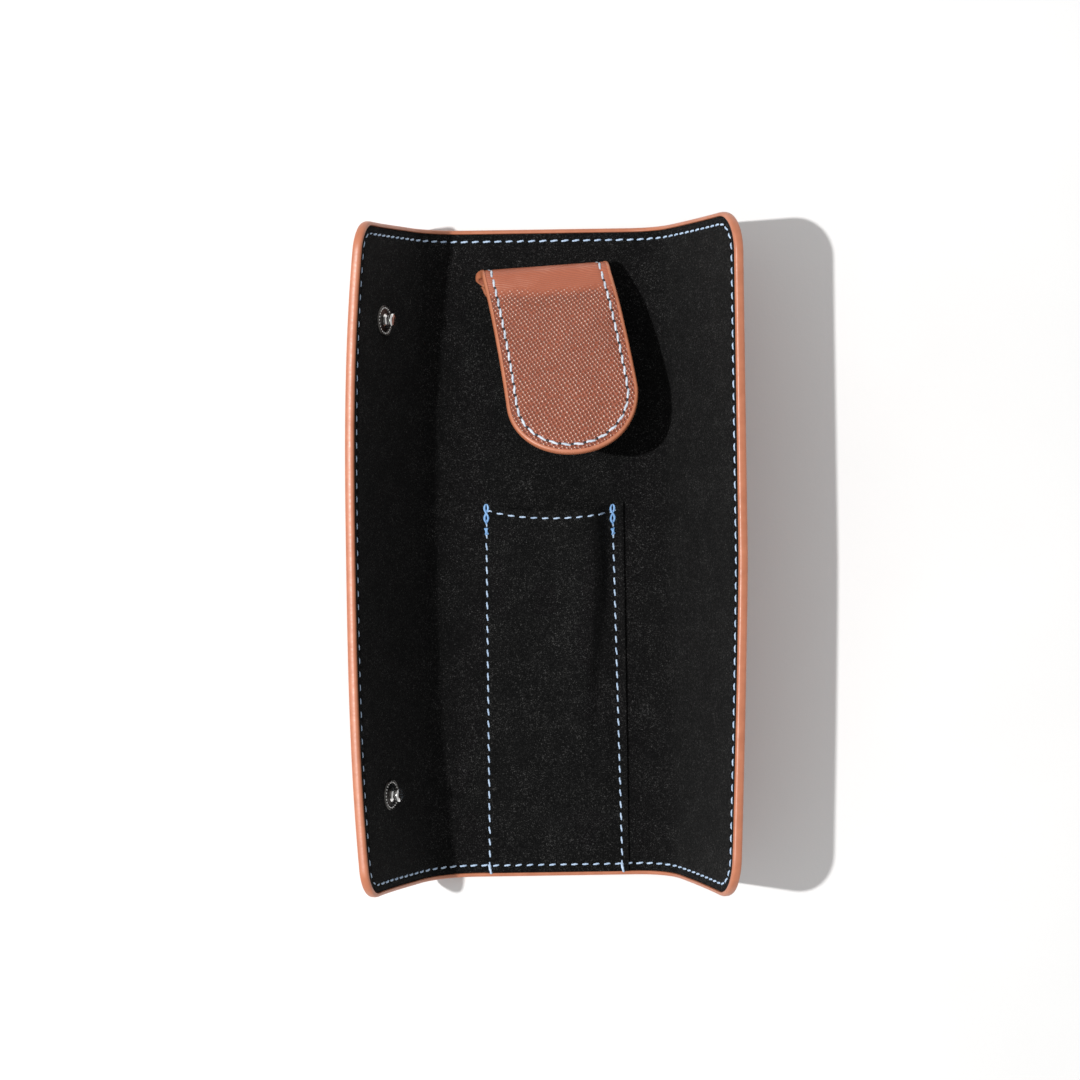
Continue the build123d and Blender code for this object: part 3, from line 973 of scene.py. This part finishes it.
def leaf_outline(inset):
    """Way round the leaf from its foot at -u to its foot at +u, with tangents."""
    c, d = LEAN_COS, LEAN_SIN
    radius = TAB_HALF - inset
    foot = radius / c
    e = 2 / TAB_POWER
    path, tangents = [], []
    for k in np.linspace(0, 1, 26)[:-1]:
        path.append((-foot + (END_U - radius * c + foot) * k, (END_Q + radius * d) * k))
        tangents.append((d, c))
    for a in np.linspace(0, math.pi, 34):
        p = radius * np.sign(math.cos(a)) * abs(math.cos(a)) ** e
        w = TAB_END * radius * abs(math.sin(a)) ** e
        path.append((END_U - p * c + w * d, END_Q + p * d + w * c))
        tangents.append(None)
    for k in np.linspace(1, 0, 26)[1:]:
        path.append((foot + (END_U + radius * c - foot) * k, (END_Q - radius * d) * k))
        tangents.append((-d, -c))
    path = np.array(path)
    for i, tangent in enumerate(tangents):
        if tangent is None:
            v = path[i + 1] - path[i - 1]
            tangents[i] = tuple(v / np.hypot(*v))
    return path, tangents


def leaf_power(u, q):
    """What the outline inset by r holds at (TAB_HALF - r) ** TAB_POWER."""
    p = (u - END_U) * LEAN_COS - (q - END_Q) * LEAN_SIN
    w = np.maximum((u - END_U) * LEAN_SIN + (q - END_Q) * LEAN_COS, 0) / TAB_END
    return np.abs(p) ** TAB_POWER + w**TAB_POWER


def tab_dip(d):
    """How far the seam and the rounded rim lower a face at a distance in from the outline."""
    return groove(0.34, d - TAB_SEAM, 0.5) + 0.14 * smoothstep(d, 2.0, TAB_PAINT)


def leaf_dip(u, q):
    return tab_dip(TAB_HALF - leaf_power(u, q) ** (1 / TAB_POWER))


def tab_band(name, path, tangents):
    rings = edge_ring(path, tangents, tab_map, 0.0, TAB_THICK, TAB_PAINT)
    return make(name, tube(rings), EDGE)


def tab_leaf():
    points = []
    for inset in (0.9, 1.2, 1.6, 2.1, 2.45, 2.9, 3.35, 3.8, 4.6):
        points += [tuple(p) for p in leaf_outline(inset)[0]]
    us, qs = np.meshgrid(np.arange(-24, 32, TAB_GRID), np.arange(0.0, 58, TAB_GRID))
    keep = (leaf_power(us, qs) < (TAB_HALF - 5.4) ** TAB_POWER) & (qs > 1.0)
    points += list(zip(us[keep], qs[keep]))
    points += [(u, 0.0) for u in np.arange(-13.6, 13.7, TAB_GRID)]

    def top(u, q):
        return TAB_THICK - leaf_dip(u, q)

    middle = level(TAB_LAYER)
    leaf = make("tab_leaf", slab(points, middle, top, tab_map), TAB_LEATHER)
    backing = make("tab_leaf_backing", slab(points, leaf_dip, middle, tab_map), TAB_LEATHER)
    path, tangents = leaf_outline(0.0)
    edge = tab_band("tab_edge", path, [(-a, -b) for a, b in tangents])
    settle(leaf, ride("tab"), "tan_leather", "tab_leather")
    settle(backing, ride("tab"), "tan_leather", "tab_backing")
    settle(edge, ride("tab"), "edge_paint", "tab_edge_paint")


def tab_roll(attach):
    """The fold. u is scaled so that its leather lies between -1 and 1."""
    rims = np.linspace(0.75, 1, 12)
    across = np.concatenate([-rims[::-1], np.linspace(-0.68, 0.68, 16), rims])
    rows = np.linspace(ROLL_END, 0.0, 26)

    def roll_map(u, q, t):
        return tab_map(np.asarray(u) * ROLL_HALF, q, t)

    def top(u, q):
        return TAB_THICK - tab_dip((1 - np.abs(u)) * ROLL_HALF + TAB_PAINT)

    shape = slab([(u, q) for q in rows for u in across], level(0.0), top, roll_map)
    shape[2][:, 0] *= ROLL_HALF
    soup = Soup()
    for sign in (-1, 1):
        path = [(sign * ROLL_RIM, q) for q in rows[::-sign]]
        ring = edge_ring(path, [(0, sign)] * len(path), tab_map, 0.0, TAB_THICK, TAB_PAINT)
        soup.add(*tube(ring))
    settle(make("tab_roll", shape, TAB_LEATHER), attach, "tan_leather", "tab_fold")
    settle(soup.make("tab_roll_edge", EDGE), attach, "edge_paint")


def leg_corner(inset, count):
    """Rounded corner of the leg at +u."""
    reach = LEG_REACH - inset
    return [
        (LEG_RIM - inset - reach * (1 - math.cos(a)), ROLL_END - reach * math.sin(a))
        for a in np.linspace(0, LEG_ARC, count)
    ]


def tab_leg():
    """The part under the roll that is sewn to the base."""
    across = np.linspace(4 - LEG_RIM, LEG_RIM - 4, 20)
    points = []
    for inset in (0.9, 1.3, 2.0, 2.7):
        corner = leg_corner(inset, 8)
        points += corner + [(-u, q) for u, q in corner]
        points += [(u, ROLL_END - LEG_REACH + inset) for u in across]
    points += [(u, ROLL_END) for u in across]
    shape = slab(points, level(0.0), level(TAB_THICK - 0.02), tab_map)
    leg = make("tab_leg_leather", shape, TAB_LEATHER)
    corner = leg_corner(0.0, 9)
    end = [(u, ROLL_END - LEG_REACH) for u in np.linspace(3.8 - LEG_RIM, LEG_RIM - 3.8, 12)]
    outline = np.array([(-u, q) for u, q in corner] + end + corner[::-1], float)
    steps = np.gradient(outline, axis=0)
    steps /= np.hypot(*steps.T)[:, None]
    band = tab_band("tab_leg_edge", outline, [tuple(-v) for v in steps])
    settle(leg, ride("base"), "tan_leather", "tab_leg")
    settle(band, ride("base"), "edge_paint")


def tab_threads(attach):
    """The seam goes round the leaf and on over the roll. Near-black pieces lie between its
    stitches: painted shade of the needle holes. The leg has a seam of its own."""
    look = {"width": 0.34, "slant": 9}
    path, tangents = leaf_outline(TAB_SEAM)
    places = spaced(path, tangents, TAB_PITCH)
    leaf, roll, leg, hole_shade = (Soup() for _ in range(4))
    for u, q, angle in places:
        angle += jitter(0.04)
        size = TAB_STITCH + jitter(0.12)
        sew(leaf, tab_map, u, q, angle, size, TAB_THICK - 0.26, 1, **look)
        sew(leaf, tab_map, u, q, angle, size, 0.28, -1, **look)
    for sign in (-1, 1):
        u = sign * (TAB_HALF - TAB_SEAM) / LEAN_COS
        for q in np.arange(-1.8, ROLL_END + 1.0, -TAB_PITCH):
            for t, out in ((TAB_THICK - 0.26, 1), (0.1, -1)):
                sew(roll, tab_map, u, q, math.pi / 2, TAB_STITCH, t, out, **look)
    half = ROLL_HALF - TAB_SEAM + TAB_PAINT - 1.0
    for u in np.linspace(-half, half, 10):
        sew(leg, tab_map, u, ROLL_END - 1.6, 0.0, 2.4, -0.1, -1, 0.32)
    # near-black lenses between the stitches: painted shade of the needle holes
    for (u0, q0, angle), (u1, q1, _) in zip(places[:-1], places[1:]):
        for t, out in ((TAB_THICK - 0.33, 1), (0.33, -1)):
            sew(hole_shade, tab_map, (u0 + u1) / 2, (q0 + q1) / 2, angle, 0.95, t, out, 0.36, 0)
    ride("tab")(hole_shade.make("tab_needle_holes", HOLE_SHADE, sharp=60))
    part = leaf.make("tab_seam", TAB_THREAD, sharp=60)
    settle(part, ride("tab"), "thread", "tab_thread")
    part = roll.make("tab_roll_seam", TAB_THREAD, sharp=60)
    settle(part, attach, "thread")
    part = leg.make("tab_leg_seam", THREAD, sharp=60)
    settle(part, ride("base"), "thread", "tab_leg_thread")


def tab():
    foot = tab_map(0.0, 0.0, TAB_THICK / 2)

    def attach(part):
        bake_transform(part)

    tab_leaf()
    tab_roll(attach)
    tab_leg()
    tab_threads(attach)


tab()


# ---- snaps ----
FLAP_LEFT = 36.4           # width of the left flap's strip
STUD_FROM_EDGE = 19.5
STUD_S = FLAP_LEFT - STUD_FROM_EDGE  # from the left flap's fold line to its studs
SOCKET_S = 2 * FOLD_X - STUD_S  # from the right flap's, so that they meet the studs
SNAP_Y = 68.2
CORE = 0.02                # radius of the pinhole that a turned profile leaves on its axis


def turned(profile, count=48):
    """A profile of (radius, height), turned about the height axis into a closed solid."""
    rings = []
    for k in range(count):
        a = 2 * math.pi * k / count
        rings.append([(r * math.cos(a), r * math.sin(a), h) for r, h in profile])
    return tube(rings, closed=True)


def bead(radius, x, y, z):
    """A small ball, a little squat."""
    rings = []
    for phi in np.radians(np.linspace(-80, 80, 7)):
        c, height = radius * math.cos(phi), z + 0.8 * radius * math.sin(phi)
        turns = [2 * math.pi * k / 10 for k in range(10)]
        rings.append([(x + c * math.cos(a), y + c * math.sin(a), height) for a in turns])
    return tube(rings)


def snap_frames(side, s, outward):
    """Where each snap of a flap sits: its place on the skin, and the frame's axes."""
    x, z = side.folds[2]
    slope = math.radians(side.slopes[3])
    c, d = math.cos(slope), math.sin(slope)
    x, z = x + s * c, z + s * d
    up_flap = np.array([side.sign * c, 0, d])
    normal = np.array([-side.sign * d, 0, c]) * (-1 if outward else 1)
    frames = []
    for y in (-SNAP_Y, SNAP_Y):
        face = side.map(FLAP_SEARCH, y, 0.0 if outward else THICK)
        across = np.abs((face - np.array([side.sign * x, y, z])) @ up_flap)
        frames.append((face[np.argmin(across)], up_flap, np.cross(normal, up_flap), normal))
    return frames


def put(soup, shape, at):
    origin, ex, ey, ez = at
    verts, faces = shape
    local = np.array(verts)
    soup.add(origin + local[:, :1] * ex + local[:, 1:2] * ey + local[:, 2:] * ez, faces)


def arc(cx, cz, r, first, last, count):
    angles = np.radians(np.linspace(first, last, count))
    return [(cx + r * math.cos(a), cz + r * math.sin(a)) for a in angles]


def stud_shape():
    """Foot, neck and head of the stud."""
    foot = [(CORE, 0.35), (1.9, 0.45), (2.1, 0.72), (1.75, 0.86), (1.4, 1.0)]
    neck = [(1.25, 1.3), (1.22, 1.8)]
    head = arc(1.35, 2.62, 0.68, -75, 70, 9) + [(0.9, 3.36), (0.4, 3.40), (CORE, 3.41)]
    return turned(foot + neck + head)


def stud_rim():
    return turned(
        [(4.0, -0.3), (4.3, -0.25), (4.4, 0.1), (4.34, 0.34), (4.2, 0.42), (4.08, 0.36), (4.0, 0.2)]
    )


def stud_dish():
    return turned(
        [(CORE, -0.3), (4.05, -0.3), (4.05, 0.26), (3.2, 0.30), (2.6, 0.5), (2.0, 0.6), (CORE, 0.6)]
    )


def socket_shape():
    rim = [(4.2, 0.3), (4.4, 0.0), (4.4, 0.25), (4.2, 0.5), (3.9, 0.58), (3.75, 0.7), (3.7, 1.1)]
    lip = arc(3.3, 1.15, 0.4, 0, 90, 6) + arc(2.75, 1.15, 0.4, 90, 180, 6)
    well = [(2.3, 0.8), (2.3, -0.8), (CORE, -0.8), (CORE, -1.0), (2.6, -1.0), (2.8, 0.3)]
    return turned(rim + lip + well)


def plate(radius, low, high, stem=0.0, top=0.0):
    """A hidden disc, with a stem if it has one."""
    profile = [(CORE, low), (radius, low), (radius, high)]
    profile += [(stem, high), (stem, top), (CORE, top)] if stem else [(CORE, high)]
    return turned(profile)


def spring_shape():
    """Split wire ring that grips the neck."""
    wire = [(math.cos(b), math.sin(b)) for b in np.radians(np.arange(0, 360, 45))]
    section = [(1.95 + 0.26 * c, 0.85 + 0.26 * d) for c, d in wire]
    turns = np.radians(np.linspace(12, 348, 50))
    return tube([[(r * math.cos(a), r * math.sin(a), h) for r, h in section] for a in turns])


def snaps():
    studs, dishes, sockets, springs, rivets, caps = (Soup() for _ in range(6))
    for at in snap_frames(LEFT, STUD_S, False):
        put(studs, stud_shape(), at)
        put(dishes, stud_rim(), at)
        put(dishes, stud_dish(), at)
        put(rivets, plate(3.2, -1.25, -1.0, 1.2, -0.31), at)
        for k in range(24):
            a = 2 * math.pi * k / 24
            put(studs, bead(0.27, 3.62 * math.cos(a), 3.62 * math.sin(a), 0.36), at)
    for at in snap_frames(RIGHT, SOCKET_S, True):
        put(sockets, socket_shape(), at)
        put(springs, spring_shape(), at)
        put(caps, plate(3.9, -1.4, -1.15), at)
    for name, soup, body, slot, node, material in (
        ("snap_stud_pair", studs, "left_flap", "snap_metal", "snap_studs", CHROME),
        # the dishes and rims take the near-black copy: painted dark reflection
        ("snap_stud_dishes", dishes, "left_flap", "snap_metal", "snap_studs", DISH_DARK_REFLECTION),
        ("snap_rivet_pair", rivets, "left_flap", "snap_metal", "stud_rivets", CHROME),
        ("snap_socket_pair", sockets, "right_flap", "snap_metal", "snap_sockets", CHROME),
        ("snap_spring_pair", springs, "right_flap", "spring_wire", "socket_springs", SPRING),
        ("snap_cap_pair", caps, "right_flap", "snap_metal", "socket_caps", CHROME),
    ):
        settle(soup.make(name, material, sharp=50), ride(body), slot, node)


snaps()
